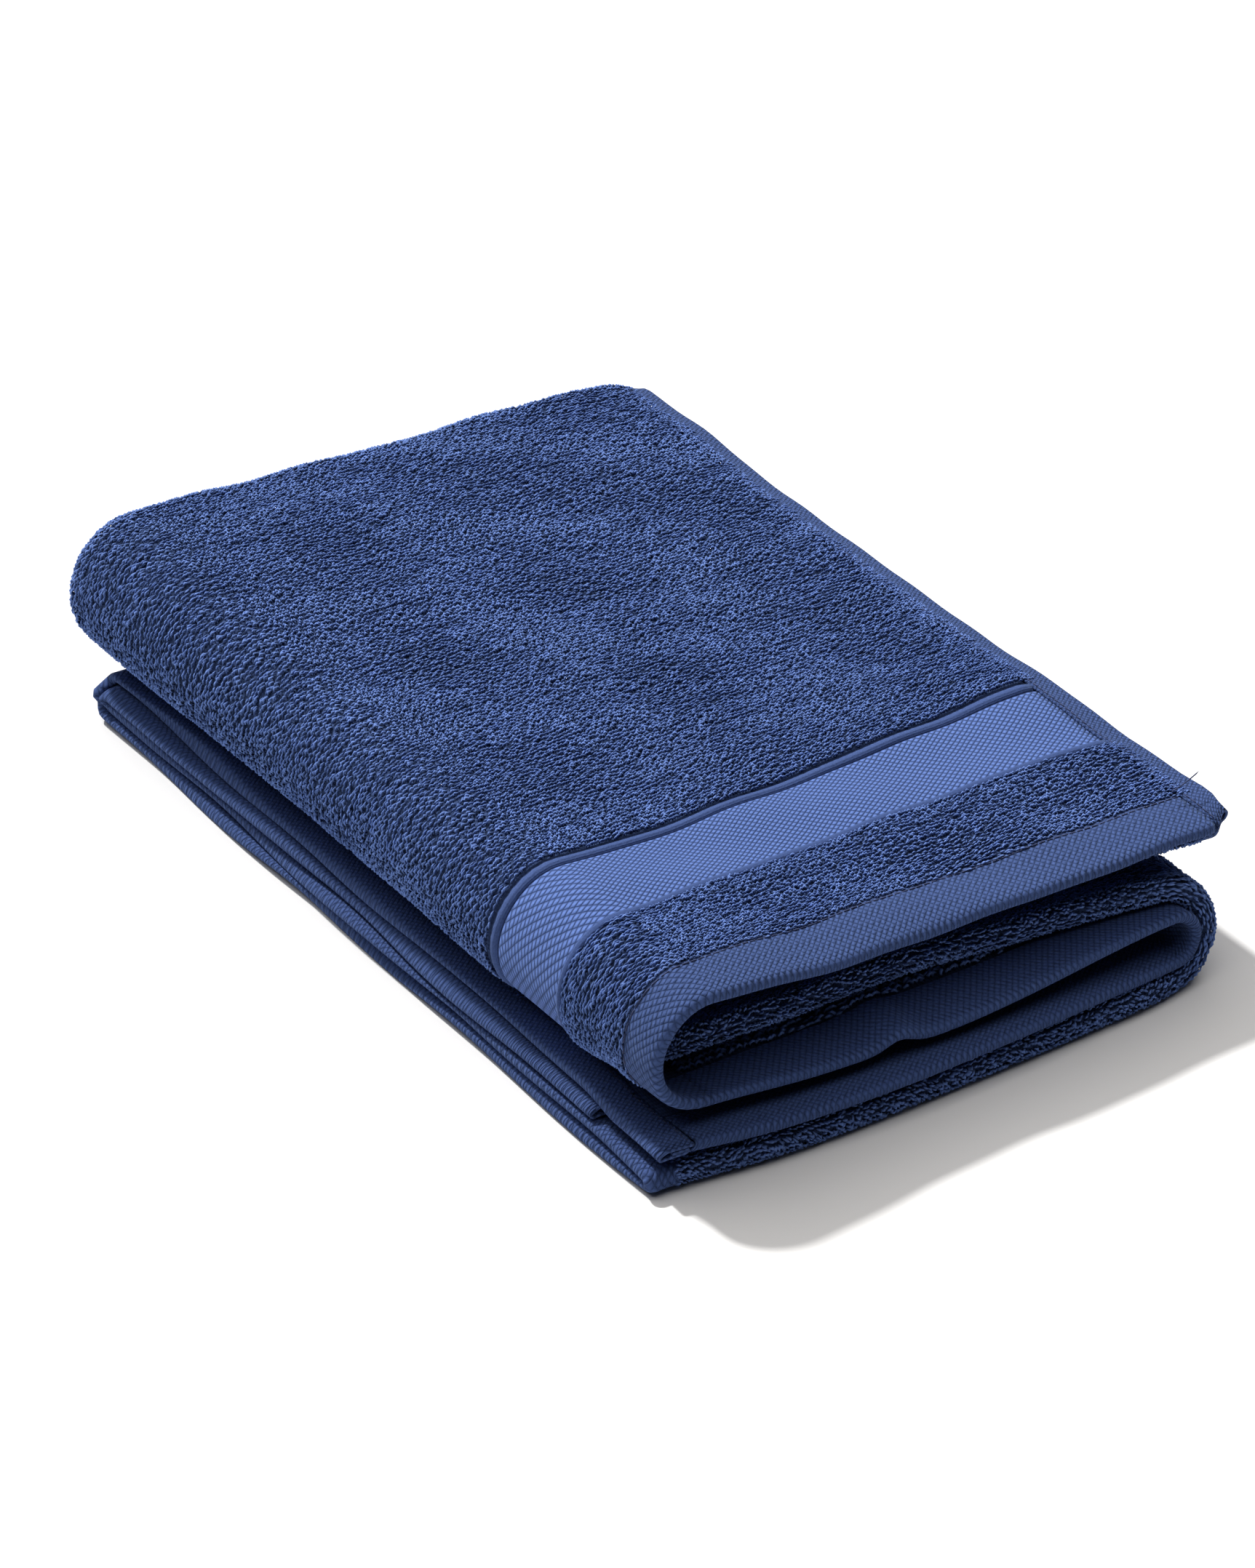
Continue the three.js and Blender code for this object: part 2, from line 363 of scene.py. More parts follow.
def lay(across, along, height):
    """The place of each point of the folded cloth, this far off its middle on the outer side."""
    y, depth = lay_lengthwise(across, along, height)
    x, z, heading = widthwise.at(across)
    out = PAD_MIDDLE - depth
    x = x + out * np.sin(heading)
    z = z - out * np.cos(heading)

    # The top panel's open edge reaches out over the right fold, and sags except at its near corner.
    open_edge = smooth(0.018, 0.0, across)
    corner = open_edge * smooth(0.022, 0.0, along)
    x = x + smooth(0.12, 0.0, across) * (OVERHANG + FAR_OVERHANG * smooth(0.0, STACK_LENGTH / 2, y))

    # The far side spreads at the open edge, draws in at the roll and stands a little higher.
    far_side = smooth(0.05, 0.17, y)
    x = x - EDGE_TUCK * open_edge - CORNER_TUCK * corner**1.5
    x = x + FAR_SPREAD * far_side * smooth(0.05, 0.0, across)
    x = x - FAR_ROLL_TUCK * far_side * smooth(0.19, 0.23, across) * smooth(0.30, 0.25, across)
    z = z + FAR_LIFT * far_side * smooth(0.035, 0.07, z)
    y = y + CORNER_PULL * corner**1.5
    lifted = smooth(-0.125, -0.170, y)
    sag = EDGE_SAG + SAG_WAVE * ripple(y, y * 0, 41, 0.09)
    z = z - sag * open_edge * (1 - lifted) + CORNER_LIFT * corner

    # The bottom panel's free edge wanders, and its outer layers slide out from under the roll.
    free_edge = smooth(0.645, ACROSS, across)
    x = x - FREE_WAVE * free_edge * ripple(y, depth * 14, 42, 0.10)
    x = x + FREE_SPREAD * free_edge * smooth(0.013, 0.0, depth)
    z = z + FREE_LIFT * free_edge * ripple(y, depth * 9, 43, 0.08)
    x, y, z = settle(x, y, z)
    return x, y, np.maximum(z, FLOOR_CLEARANCE)


class Value:
    """A number in a material, whose arithmetic adds Math nodes."""

    def __init__(self, finish, socket):
        self.finish = finish
        self.socket = socket

    def math(self, operation, *values):
        made = self.finish.node("ShaderNodeMath", {"operation": operation}, dict(enumerate(values)))
        return Value(self.finish, made.outputs[0])

    def __add__(self, other):
        return self.math("ADD", self, other)

    def __sub__(self, other):
        return self.math("SUBTRACT", self, other)

    def __rsub__(self, other):
        return self.math("SUBTRACT", other, self)

    def __mul__(self, other):
        return self.math("MULTIPLY", self, other)

    def __truediv__(self, other):
        return self.math("DIVIDE", self, other)

    def __pow__(self, other):
        return self.math("POWER", self, other)

    __radd__ = __add__
    __rmul__ = __mul__

    def sine(self):
        return self.math("SINE", self)

    def size(self):
        return self.math("ABSOLUTE", self)

    def at_most(self, other):
        return self.math("MINIMUM", self, other)

    def at_least(self, other):
        return self.math("MAXIMUM", self, other)


class Finish:
    """A material, made node by node around its shader."""

    def __init__(self, name, constants):
        self.material = bpy.data.materials.new(name)
        self.material.use_nodes = True
        self.tree = self.material.node_tree
        self.shader = next(n for n in self.tree.nodes if n.type == "BSDF_PRINCIPLED")
        for socket, value in constants.items():
            self.shader.inputs[socket].default_value = value

    def node(self, kind, settings, inputs):
        """A node of this type, with its settings made before its inputs are set or linked."""
        made = self.tree.nodes.new(kind)
        for name, value in settings.items():
            setattr(made, name, value)
        for name, value in inputs.items():
            self.feed(made.inputs[name], value)
        return made

    def feed(self, socket, value):
        if isinstance(value, Value):
            self.tree.links.new(value.socket, socket)
        elif isinstance(value, bpy.types.NodeSocket):
            self.tree.links.new(value, socket)
        else:
            socket.default_value = value

    def attribute(self, name):
        made = self.node("ShaderNodeAttribute", {"attribute_name": name}, {})
        return Value(self, made.outputs["Fac"])

    def noise(self, scale, detail=2.0, vector=None):
        place = vector or self.node("ShaderNodeTexCoord", {}, {}).outputs["Object"]
        made = self.node("ShaderNodeTexNoise", {}, {"Vector": place, "Scale": scale, "Detail": detail})
        return Value(self, made.outputs["Fac"])

    def cloth_place(self):
        """The distances across and along the cloth."""
        where = self.node("ShaderNodeUVMap", {"uv_map": "cloth"}, {}).outputs["UV"]
        split = self.node("ShaderNodeSeparateXYZ", {}, {"Vector": where})
        return Value(self, split.outputs["X"]), Value(self, split.outputs["Y"])

    def mix(self, factor, first, second):
        """A colour between two colours."""
        made = self.node("ShaderNodeMix", {"data_type": "RGBA"}, {"Factor": factor, 6: first, 7: second})
        return made.outputs[2]

    def bump(self, height, distance):
        made = self.node("ShaderNodeBump", {}, {"Height": height, "Distance": distance, "Strength": 1.0})
        self.feed(self.shader.inputs["Normal"], made.outputs["Normal"])

    def colour(self, value):
        self.feed(self.shader.inputs["Base Color"], value)

    def roughness(self, value):
        self.feed(self.shader.inputs["Roughness"], value)


def shade(colour, factor):
    """The colour, darker or lighter, with its alpha."""
    return (*(min(c * factor, 1.0) for c in colour), 1.0)


def finish_of(name, make):
    """The finish of this name, made the first time it is asked for."""
    return bpy.data.materials.get(name) or make(name)


SHEEN = (0.45, 0.62, 1.0, 1.0)
LOOP_SHINE = {"Sheen Weight": 0.14, "Sheen Roughness": 0.5, "Sheen Tint": SHEEN, "Specular IOR Level": 0.1}
WEAVE_SHINE = {"Sheen Weight": 0.15, "Sheen Roughness": 0.5, "Sheen Tint": SHEEN, "Specular IOR Level": 0.12}


def loop_cotton(name):
    """Twisted loops: each has its own tone, darkened at its foot with painted shade that fades towards its
    crest.
    """
    colour = tuple(bpy.context.scene.towel_colours.loops)
    finish = Finish(name, LOOP_SHINE)
    tone, rise = finish.attribute("tone"), finish.attribute("rise")
    patches = finish.noise(18.0)
    light = (tone * 0.75 + patches * 0.35 - 0.05).at_most(1.0).at_least(0.0)
    crest = finish.mix(light, shade(colour, 0.76), shade(colour, 1.34))
    # Painted shade: each loop's foot is darkened, fading out up to its crest.
    root = (rise * 1.3 - 0.05).at_most(1.0).at_least(0.0)
    finish.colour(finish.mix(root, shade(colour, 0.20), crest))
    finish.roughness(0.96 - 0.12 * tone)
    finish.bump(finish.noise(2600.0, 1.0), 0.00012)
    return finish.material


def ground_cotton_in_painted_shade(name):
    """The ground weave under the pile, in the loops' colour but darker: painted shade, so the gaps between
    the loops look shadowed.
    """
    colour = tuple(bpy.context.scene.towel_colours.loops)
    finish = Finish(name, {"Sheen Weight": 0.1, "Sheen Tint": SHEEN, "Specular IOR Level": 0.1})
    across, along = finish.cloth_place()
    rows = (along * (2 * math.pi / 0.0022)).sine() * 0.5 + 0.5
    warp = (across * (2 * math.pi / 0.0011)).sine() * 0.5 + 0.5
    weave = rows * 0.6 + warp * 0.4
    # Painted shade: the ground is a darkened copy of the loops' colour, darker still where its weave lies
    # low.
    finish.colour(finish.mix(weave * finish.noise(900.0), shade(colour, 0.30), shade(colour, 0.66)))
    finish.roughness(0.9 + 0.08 * weave)
    finish.bump(weave, 0.0004)
    return finish.material


def weave_cells(finish, across, along, wide, deep, slant):
    """Small raised cells, 1 on a cell's crest and 0 in the low lines between them, which the weaves darken
    with painted shade; slant leans their rows.
    """
    drift = finish.noise(120.0) * 0.0008
    column = (across + along * slant + drift) * (math.pi / wide)
    row = (along + drift * 0.5) * (math.pi / deep)
    return ((column + row).sine() * (column - row).sine()).size() ** 0.6


def border_weave(name):
    """Rows of small raised cells with painted shade between them, and painted shade in the furrow on either
    side of the cord.
    """
    colour = tuple(bpy.context.scene.towel_colours.weave)
    finish = Finish(name, WEAVE_SHINE)
    across, along = finish.cloth_place()
    cells = weave_cells(finish, across, along, 0.0030, 0.0027, 0.35)
    picks = (along * (2 * math.pi / 0.00042)).sine() * 0.5 + 0.5
    fuzz = finish.noise(1500.0, 3.0)
    # Masks for the painted shade in the two grooves beside the cord.
    groove = ((along - GROOVE_LINE) / 0.0015) ** 2.0
    furrow = ((along - (BORDER_END - 0.0002)) / 0.0010) ** 2.0
    seams = groove.at_most(furrow).at_most(1.0)
    cord = ((along - CORD_LINE) / 0.0021) ** 4.0
    lip = ((along - LIP_LINE) / 0.0014) ** 4.0
    plain = cord.at_most(lip).at_most(1.0)
    light = (cells * 1.05 + picks * 0.05 + fuzz * 0.3 - 0.15).at_most(1.0).at_least(0.0)
    light = light * plain + fuzz * 0.45 * (1.0 - plain)
    # The cells are the weave's pattern, with painted shade in the lines between them.
    cloth = finish.mix(light, shade(colour, 0.48), shade(colour, 1.62))
    # Painted shade: the grooves on either side of the cord are darkened almost to black.
    finish.colour(finish.mix(seams, shade(colour, 0.14), cloth))
    finish.roughness(0.92 - 0.12 * cells)
    finish.bump(cells * plain + picks * 0.1 + fuzz * 0.3, 0.0006)
    return finish.material


def hem_weave_in_painted_shade(name):
    """A close weave of small cells with faint ribs across the hem, in the weave colour darkened throughout
    with painted shade.
    """
    colour = tuple(bpy.context.scene.towel_colours.weave)
    finish = Finish(name, WEAVE_SHINE)
    across, along = finish.cloth_place()
    drift = finish.noise(140.0) * 0.0014
    ribs = ((across + drift + along * 0.8) * (2 * math.pi / 0.0026)).sine() * 0.5 + 0.5
    cells = weave_cells(finish, across, along, 0.0025, 0.0023, 0.3)
    fuzz = finish.noise(1500.0, 3.0)
    light = (ribs * 0.18 + cells * 0.6 + fuzz * 0.5 - 0.12).at_most(1.0).at_least(0.0)
    # Painted shade: the hem is a darkened copy of the weave colour, darker still between its cells.
    finish.colour(finish.mix(light, shade(colour, 0.27), shade(colour, 0.98)))
    finish.roughness(0.93 - 0.1 * cells)
    finish.bump(ribs * 0.3 + cells * 0.7 + fuzz * 0.3, 0.0006)
    return finish.material


def sewing_thread(name):
    """Spun thread with a slight shine along its twist: less rough there, and lighter in colour as a painted
    highlight.
    """
    colour = tuple(bpy.context.scene.towel_colours.thread)
    finish = Finish(name, {"Sheen Weight": 0.2, "Specular IOR Level": 0.4})
    twist = finish.noise(3000.0, 2.0)
    # Painted highlight: the colour is lighter along the twist.
    finish.colour(finish.mix(twist, shade(colour, 0.6), shade(colour, 1.7)))
    finish.roughness(0.75 - 0.2 * twist)
    finish.bump(twist, 0.0001)
    return finish.material


def add_piece(name, mesh, material):
    """The finished mesh as a piece at the origin."""
    mesh.name = name
    mesh.materials.clear()
    mesh.materials.append(material)
    mesh.polygons.foreach_set("use_smooth", np.ones(len(mesh.polygons), bool))
    piece = bpy.data.objects.new(name, mesh)
    bpy.context.scene.collection.objects.link(piece)
    return piece


def mesh_from(build, name):
    mesh = bpy.data.meshes.new(name)
    build.to_mesh(mesh)
    build.free()
    return mesh


def points_of(mesh):
    place = np.empty(len(mesh.vertices) * 3)
    mesh.vertices.foreach_get("co", place)
    return place.reshape(-1, 3)


def move_points(mesh, x, y, z):
    mesh.vertices.foreach_set("co", np.stack([x, y, z], 1).ravel())
    mesh.update()


def cloth_grid(columns, rows, place):
    """A grid of cloth: place gives x, y and z for each pair of a column and a row."""
    build = bmesh.new()
    bmesh.ops.create_grid(build, x_segments=len(columns) - 1, y_segments=len(rows) - 1, size=0.5)
    mesh = mesh_from(build, "cloth")
    flat = points_of(mesh)
    column = np.rint((flat[:, 0] + 0.5) * (len(columns) - 1)).astype(int)
    row = np.rint((flat[:, 1] + 0.5) * (len(rows) - 1)).astype(int)
    across, along, height = place(columns[column], rows[row])
    corner = np.empty(len(mesh.loops), int)
    mesh.loops.foreach_get("vertex_index", corner)
    layer = mesh.uv_layers.new(name="cloth")
    layer.uv.foreach_set("vector", np.stack([across[corner], along[corner]], 1).ravel())
    move_points(mesh, *lay(across, along, height))
    return mesh


def thicken(piece, thickness):
    """Gives a sheet its thickness, half to each side."""
    wall = piece.modifiers.new("thickness", "SOLIDIFY")
    wall.thickness = thickness
    wall.offset = 0.0
    return piece


def tube(profile, sides):
    """A closed tube through (x, y, z, radius) stations, with a point at each end."""
    build = bmesh.new()
    build.loops.layers.uv.new("OFBake")
    bmesh.ops.create_grid(build, x_segments=len(profile) - 1, y_segments=sides, size=0.5, calc_uvs=True)
    line = np.array(profile, float)
    ahead = np.gradient(line[:, :3], axis=0)
    for corner in build.verts:
        station = round((corner.co.x + 0.5) * (len(profile) - 1))
        angle = 2 * math.pi * (corner.co.y + 0.5)
        forward = Vector(ahead[station]).normalized()
        side = forward.cross(Vector((0, 1, 0))).normalized()
        up = side.cross(forward)
        around = side * math.cos(angle) + up * math.sin(angle)
        corner.co = Vector(line[station, :3]) + around * line[station, 3]
    bmesh.ops.remove_doubles(build, verts=build.verts, dist=1e-7)
    bmesh.ops.recalc_face_normals(build, faces=build.faces)
    return mesh_from(build, "tube")


def repeated(mesh, columns, rows):
    """Copies of a mesh in rows and columns of unit pitch, each with its own square of the bake's map."""
    maker = bpy.data.objects.new("maker", mesh)
    bpy.context.scene.collection.objects.link(maker)
    for axis, count in enumerate((columns, rows)):
        copies = maker.modifiers.new("copies", "ARRAY")
        copies.count = count
        copies.use_relative_offset = False
        copies.use_constant_offset = True
        copies.constant_offset_displace = (1.0, 0.0, 0.0) if axis == 0 else (0.0, 1.0, 0.0)
        copies.offset_u, copies.offset_v = (1.0, 0.0) if axis == 0 else (0.0, 1.0)
    graph = bpy.context.evaluated_depsgraph_get()
    made = maker.evaluated_get(graph)
    many = bpy.data.meshes.new_from_object(made, preserve_all_data_layers=True, depsgraph=graph)
    bpy.data.objects.remove(maker)
    bpy.data.meshes.remove(mesh)
    layer = many.uv_layers["OFBake"].uv
    place = np.empty(len(layer) * 2)
    layer.foreach_get("vector", place)
    place = place.reshape(-1, 2) * 0.9 + np.floor(place.reshape(-1, 2) * 0.999) * 0.1
    layer.foreach_set("vector", (place / (columns, rows)).ravel())
    return many


# A loop of the pile, from foot to foot: x runs along its row, z away from the ground.
LOOP = (
    (-0.00038, 0.0, -0.0001, 0.0),
    (-0.00078, 0.0, 0.0010, 0.00040),
    (0.0, 0.0, 0.00160, 0.00050),
    (0.00078, 0.0, 0.0010, 0.00040),
    (0.00038, 0.0, -0.0001, 0.0),
)
LOOP_TOP = 0.0020
# A fuller loop for the faces that lie against each other inside the stack and under it.
HIDDEN_LOOP = (
    (-0.00050, 0.0, -0.0001, 0.0),
    (-0.00050, 0.0, 0.0013, 0.00060),
    (0.00050, 0.0, 0.0013, 0.00060),
    (0.00050, 0.0, -0.0001, 0.0),
)


def pile(name, across, along, side=1, scale=1.0, pitch=1.0, chaos=1.0, reach=1.0, close=1.0, loop=LOOP):
    """Rows of loops over a stretch of the cloth, on its outer (1) or its inner (-1) side.

    scale is a loop's size and pitch the room between loops. close packs the rows, reach narrows each loop
    along its row, and chaos scatters the loops.
    """
    sizes = bpy.context.scene.towel_sizes
    columns = max(round((across[1] - across[0]) / (sizes.loop_pitch * pitch)), 1)
    rows = max(round((along[1] - along[0]) / (sizes.row_pitch * pitch * close)), 1)
    one = tube(loop, 3)
    many = repeated(one, columns, rows)
    draw = np.random.default_rng(sizes.seed + sum(ord(letter) for letter in name))
    count = columns * rows
    place = points_of(many).reshape(count, -1, 3)
    column, row = np.divmod(np.arange(count), columns)[::-1]
    place = place - np.stack([column, row, np.zeros(count)], 1)[:, None]
    grow = scale * draw.uniform(0.88, 1.15, count)[:, None]
    x, y, z = (place[:, :, i] * grow for i in range(3))
    x, y = x * reach, y * close
    step = np.array([(across[1] - across[0]) / columns, (along[1] - along[0]) / rows])
    middle_x = across[0] + (column + 0.5 + 0.5 * (row % 2)) * step[0]
    middle_x = middle_x + draw.normal(0, 0.20 * chaos, count) * step[0]
    middle_y = along[0] + (row + 0.5) * step[1] + draw.normal(0, 0.13 * chaos, count) * step[1]
    middle_x = np.clip(middle_x, across[0] + step[0] / 2, across[1] - step[0] / 4)
    flow = ripple(middle_x, middle_y, 21, 0.05) + 0.7 * ripple(middle_x, middle_y, 22, 0.018)
    lean = np.radians(21 * flow + draw.normal(0, 16 * chaos, count))[:, None]
    yaw = np.radians(9 * ripple(middle_x, middle_y, 23, 0.03) + draw.normal(0, 13 * chaos, count))[:, None]
    y, z = y * np.cos(lean) + z * np.sin(lean), z * np.cos(lean) - y * np.sin(lean)
    x, y = x * np.cos(yaw) - y * np.sin(yaw), x * np.sin(yaw) + y * np.cos(yaw)
    top = LOOP_TOP * scale
    z = np.clip(z, -0.0002, top)
    height = side * (sizes.ground / 2 + z)
    spot = (middle_x[:, None] + x).ravel(), (middle_y[:, None] + y).ravel(), height.ravel()
    move_points(many, *lay(*spot))
    if side > 0:
        many.flip_normals()
    # tone is drawn at random for each loop; rise, the height up the loop, sets the painted shade at its
    # foot.
    for label, value in (
        ("tone", np.repeat(draw.uniform(0, 1, count), place.shape[1])),
        ("rise", np.clip(z / top, 0, 1).ravel()),
    ):
        many.attributes.new(label, "FLOAT", "POINT").data.foreach_set("value", value.astype(np.float32))
    return add_piece(name, many, finish_of("loop cotton", loop_cotton))


def steps(start, end, step):
    return np.linspace(start, end, max(math.ceil((end - start) / step), 1) + 1)


def sheet_piece(name, across, rows, thickness, finish, crown=None):
    """A flat-woven zone from across[0] to across[1]; crown raises its middle by the distance along."""
    columns = widthwise.stations(*across, 0.004, 16)
    mesh = cloth_grid(columns, rows, lambda s, v: (s, v, 0 * v if crown is None else crown(s, v)))
    return thicken(add_piece(name, mesh, finish), thickness)


def hem_route(width):
    """The cloth's path in a hem that is turned twice: outer ply, edge, inner ply, raw edge tucked in."""
    edge, tuck, swell = 0.0018, 0.00055, 0.05
    route = Route(width + 0.0004, edge - swell * width, math.pi - swell)
    route.line(width - edge).turn(edge, math.pi + 2 * swell).line(width - edge - 0.0012)
    return route.turn(tuck, math.pi).line(width - 0.006)


def rolled_hem(name, width, spans, place):
    """A hem turned twice, swept over spans; place turns its distances into across, along and height."""
    route = hem_route(width)
    section = route.stations(0.0, route.length, 0.0022, 8)
    inward, height, _ = route.at(section)

    def point(span, which):
        index = np.rint(which).astype(int)
        pucker = 0.00016 * ripple(span, span * 0, 31, 0.009) * smooth(0.3, 0.9, inward[index] / width)
        return place(span, inward[index], height[index] + pucker * np.sign(height[index]))

    mesh = cloth_grid(spans, np.arange(len(section), dtype=float), point)
    ply = bpy.context.scene.towel_sizes.hem_ply
    return thicken(add_piece(name, mesh, finish_of("hem weave", hem_weave_in_painted_shade)), ply)


STITCH = (
    (-0.00135, 0.0, -0.0005, 0.0),
    (-0.0010, 0.0, 0.0, 0.00027),
    (0.0010, 0.0, 0.0, 0.00027),
    (0.00135, 0.0, -0.0005, 0.0),
)


# Where the rows of stitches lie on their hems, and the loose end of the thread at the top panel's corner.
SEAM_INSET, END_SEAM_HEIGHT, SIDE_SEAM_HEIGHT = 0.0012, 0.0016, 0.0019
THREAD_ROOT, THREAD_RADIUS = (0.1094, -0.1587, 0.0640), 0.00022


def seam(name, start, end, place):
    """A row of stitches; place gives across, along and height for the distances along and beside the row."""
    count = round((end - start) / bpy.context.scene.towel_sizes.stitch)
    many = repeated(tube(STITCH, 5), count, 1)
    spot = points_of(many).reshape(count, -1, 3)
    number = np.arange(count)[:, None]
    row = start + (number + 0.5) * (end - start) / count + (spot[:, :, 0] - number)
    beside, height = spot[:, :, 1], spot[:, :, 2]
    move_points(many, *lay(*(value.ravel() for value in place(row, beside, height))))
    return add_piece(name, many, finish_of("sewing thread", sewing_thread))


FLOOR_LEVEL = -0.0002
# The strength of the surroundings as a light, and as the camera sees them.
WORLD_LIGHT, WORLD_SEEN = 0.03, 0.93
# Each light's name, strength, spread in degrees, colour and the way that it lies in.
SUNS = (
    ("window", 2.6, 3.5, (1.0, 0.99, 0.97), (-0.10, 0.76, 1.0)),
    ("ceiling", 2.0, 90, (1.0, 0.98, 0.962), (0.0, 0.25, 1.0)),
)
CAMERA_AZIMUTH, CAMERA_ELEVATION = -35.3, 33.7
CAMERA_AIM, CAMERA_DISTANCE = (-0.0011, 0.0075, 0.0196), 1.832
CAMERA_LENS, CAMERA_SENSOR = 116.9, 36.0


class TOWEL_OT_stage(bpy.types.Operator):
    """Makes the floor, the light and the camera"""

    bl_idname = "towel.stage"
    bl_label = "Stage"

    def execute(self, context):
        scene = context.scene
        build = bmesh.new()
        bmesh.ops.create_grid(build, x_segments=1, y_segments=1, size=6.0)
        mesh = mesh_from(build, "floor")
        paper = Finish("pale paper", {"Roughness": 0.9, "Specular IOR Level": 0.1})
        colour = tuple(scene.towel_colours.floor)
        paper.colour(paper.mix(paper.noise(3.0), shade(colour, 0.995), shade(colour, 1.0)))
        mesh.materials.append(paper.material)
        floor = bpy.data.objects.new("floor", mesh)
        floor.location.z = FLOOR_LEVEL
        scene.collection.objects.link(floor)

        world = bpy.data.worlds.new("studio")
        world.use_nodes = True
        sky = next(n for n in world.node_tree.nodes if n.type == "BACKGROUND")
        sky.inputs["Color"].default_value = (1.0, 1.0, 1.0, 1.0)
        seen = world.node_tree.nodes.new("ShaderNodeLightPath").outputs["Is Camera Ray"]
        level = world.node_tree.nodes.new("ShaderNodeMix")
        level.inputs["A"].default_value = WORLD_LIGHT
        level.inputs["B"].default_value = WORLD_SEEN
        world.node_tree.links.new(seen, level.inputs["Factor"])
        world.node_tree.links.new(level.outputs["Result"], sky.inputs["Strength"])
        scene.world = world

        for name, energy, spread, colour, way in SUNS:
            lamp = bpy.data.lights.new(name, "SUN")
            lamp.energy = energy
            lamp.angle = math.radians(spread)
            lamp.color = colour
            light = bpy.data.objects.new(name, lamp)
            light.rotation_euler = Vector(way).to_track_quat("Z", "Y").to_euler()
            scene.collection.objects.link(light)

        azimuth, elevation = math.radians(CAMERA_AZIMUTH), math.radians(CAMERA_ELEVATION)
        flat = math.cos(elevation)
        back = Vector((flat * math.sin(azimuth), -flat * math.cos(azimuth), math.sin(elevation)))
        lens = bpy.data.cameras.new("camera")
        lens.lens = CAMERA_LENS
        lens.sensor_width = CAMERA_SENSOR
        lens.clip_start, lens.clip_end = 0.05, 30.0
        camera = bpy.data.objects.new("camera", lens)
        turned = back.to_track_quat("Z", "Y").to_matrix().to_4x4()
        camera.matrix_world = Matrix.Translation(Vector(CAMERA_AIM) + back * CAMERA_DISTANCE) @ turned
        scene.collection.objects.link(camera)
        scene.camera = camera
        scene.view_settings.view_transform = "Standard"
        scene.view_settings.look = "Medium High Contrast"
        return {"FINISHED"}


def border_crown(across, along):
    """The border's ribs: a raised cord between two grooves on the body's side, a fine lip on the strip's."""

    def ridge(centre, width):
        return np.exp(-(((along - centre) / width) ** 2))

    cord = 0.0008 * ridge(CORD_LINE, 0.0008) - 0.0016 * ridge(GROOVE_LINE, 0.0009)
    cord = cord - 0.0010 * ridge(BORDER_END, 0.0006)
    lip = 0.0010 * ridge(LIP_LINE, 0.0006)
    return cord + lip


class TOWEL_OT_cloth(bpy.types.Operator):
    """Makes the ground weave of the towel in two stretches"""

    bl_idname = "towel.cloth"
    bl_label = "Ground cloth"

    def execute(self, context):
        sizes = context.scene.towel_sizes
        ground = finish_of("ground cotton", ground_cotton_in_painted_shade)
        body = lengthwise.stations(PILE_START, ALONG - PILE_START, 0.008, 10)
        for stretch, across in STRETCHES.items():
            cloth = sheet_piece(f"{stretch}_cloth", across, body, sizes.ground, ground)
            for end in ("near", "second"):
                rows = steps(STRIP_START, STRIP_END, 0.005)
                rows = rows if end == "near" else ALONG - rows[::-1]
                sheet_piece(f"{stretch}_{end}_strip", across, rows, sizes.ground, ground)
        return {"FINISHED"}


class TOWEL_OT_borders(bpy.types.Operator):
    """Makes the woven border near each end"""

    bl_idname = "towel.borders"
    bl_label = "Borders"

    def execute(self, context):
        thickness = context.scene.towel_sizes.border
        weave = finish_of("border weave", border_weave)
        cord, lip = BORDER_END - 0.007, BORDER_START + 0.003
        near = np.concatenate(
            [
                steps(BORDER_START, lip, 0.0004),
                steps(lip, cord, 0.004)[1:],
                steps(cord, BORDER_END, 0.0004)[1:],
            ]
        )
        for stretch, across in STRETCHES.items():
            name = f"{stretch}_near_border"
            sheet_piece(name, across, near, thickness, weave, border_crown)
            rows = ALONG - steps(BORDER_START, BORDER_END, 0.005)[::-1]
            sheet_piece(f"{stretch}_second_border", across, rows, thickness, weave)
        return {"FINISHED"}


class TOWEL_OT_hems(bpy.types.Operator):
    """Makes the rolled hems of the ends and the sides"""

    bl_idname = "towel.hems"
    bl_label = "Hems"

    def execute(self, context):
        for stretch, across in STRETCHES.items():
            spans = widthwise.stations(*across, 0.003, 16)
            rolled_hem(f"{stretch}_near_hem", END_HEM, spans, lambda s, d, h: (s, d, h))
            rolled_hem(f"{stretch}_second_hem", END_HEM, spans, lambda s, d, h: (s, ALONG - d, h))
        spans = lengthwise.stations(0.0, ALONG, 0.006, 10)
        rolled_hem("upper_side_hem", SIDE_HEM, spans, lambda v, d, h: (d, v, h))
        rolled_hem("lower_side_hem", SIDE_HEM, spans, lambda v, d, h: (ACROSS - d, v, h))
        return {"FINISHED"}


class TOWEL_OT_seams(bpy.types.Operator):
    """Makes the rows of stitches and the loose end of the thread"""

    bl_idname = "towel.seams"
    bl_label = "Seams"

    def execute(self, context):
        for stretch, (start, end) in STRETCHES.items():
            seam(
                f"{stretch}_end_seam",
                start,
                end,
                lambda s, d, h: (s, END_HEM - SEAM_INSET + d, END_SEAM_HEIGHT + h),
            )
        side = SIDE_HEM - SEAM_INSET
        first, last = 0.002, ALONG - 0.002
        seam("upper_side_seam", first, last, lambda v, d, h: (side + d, v, SIDE_SEAM_HEIGHT + h))
        seam("lower_side_seam", first, last, lambda v, d, h: (ACROSS - side + d, v, SIDE_SEAM_HEIGHT + h))
        x, y, z = THREAD_ROOT
        points = [
            (x + 0.0119 * t, y - 0.0010 * t, z + 0.0024 * t + 0.0026 * t * t, THREAD_RADIUS * (0 < t < 1))
            for t in np.linspace(0, 1, 10)
        ]
        tail = tube(points, 6)
        add_piece("upper_thread_end", tail, finish_of("sewing thread", sewing_thread))
        return {"FINISHED"}


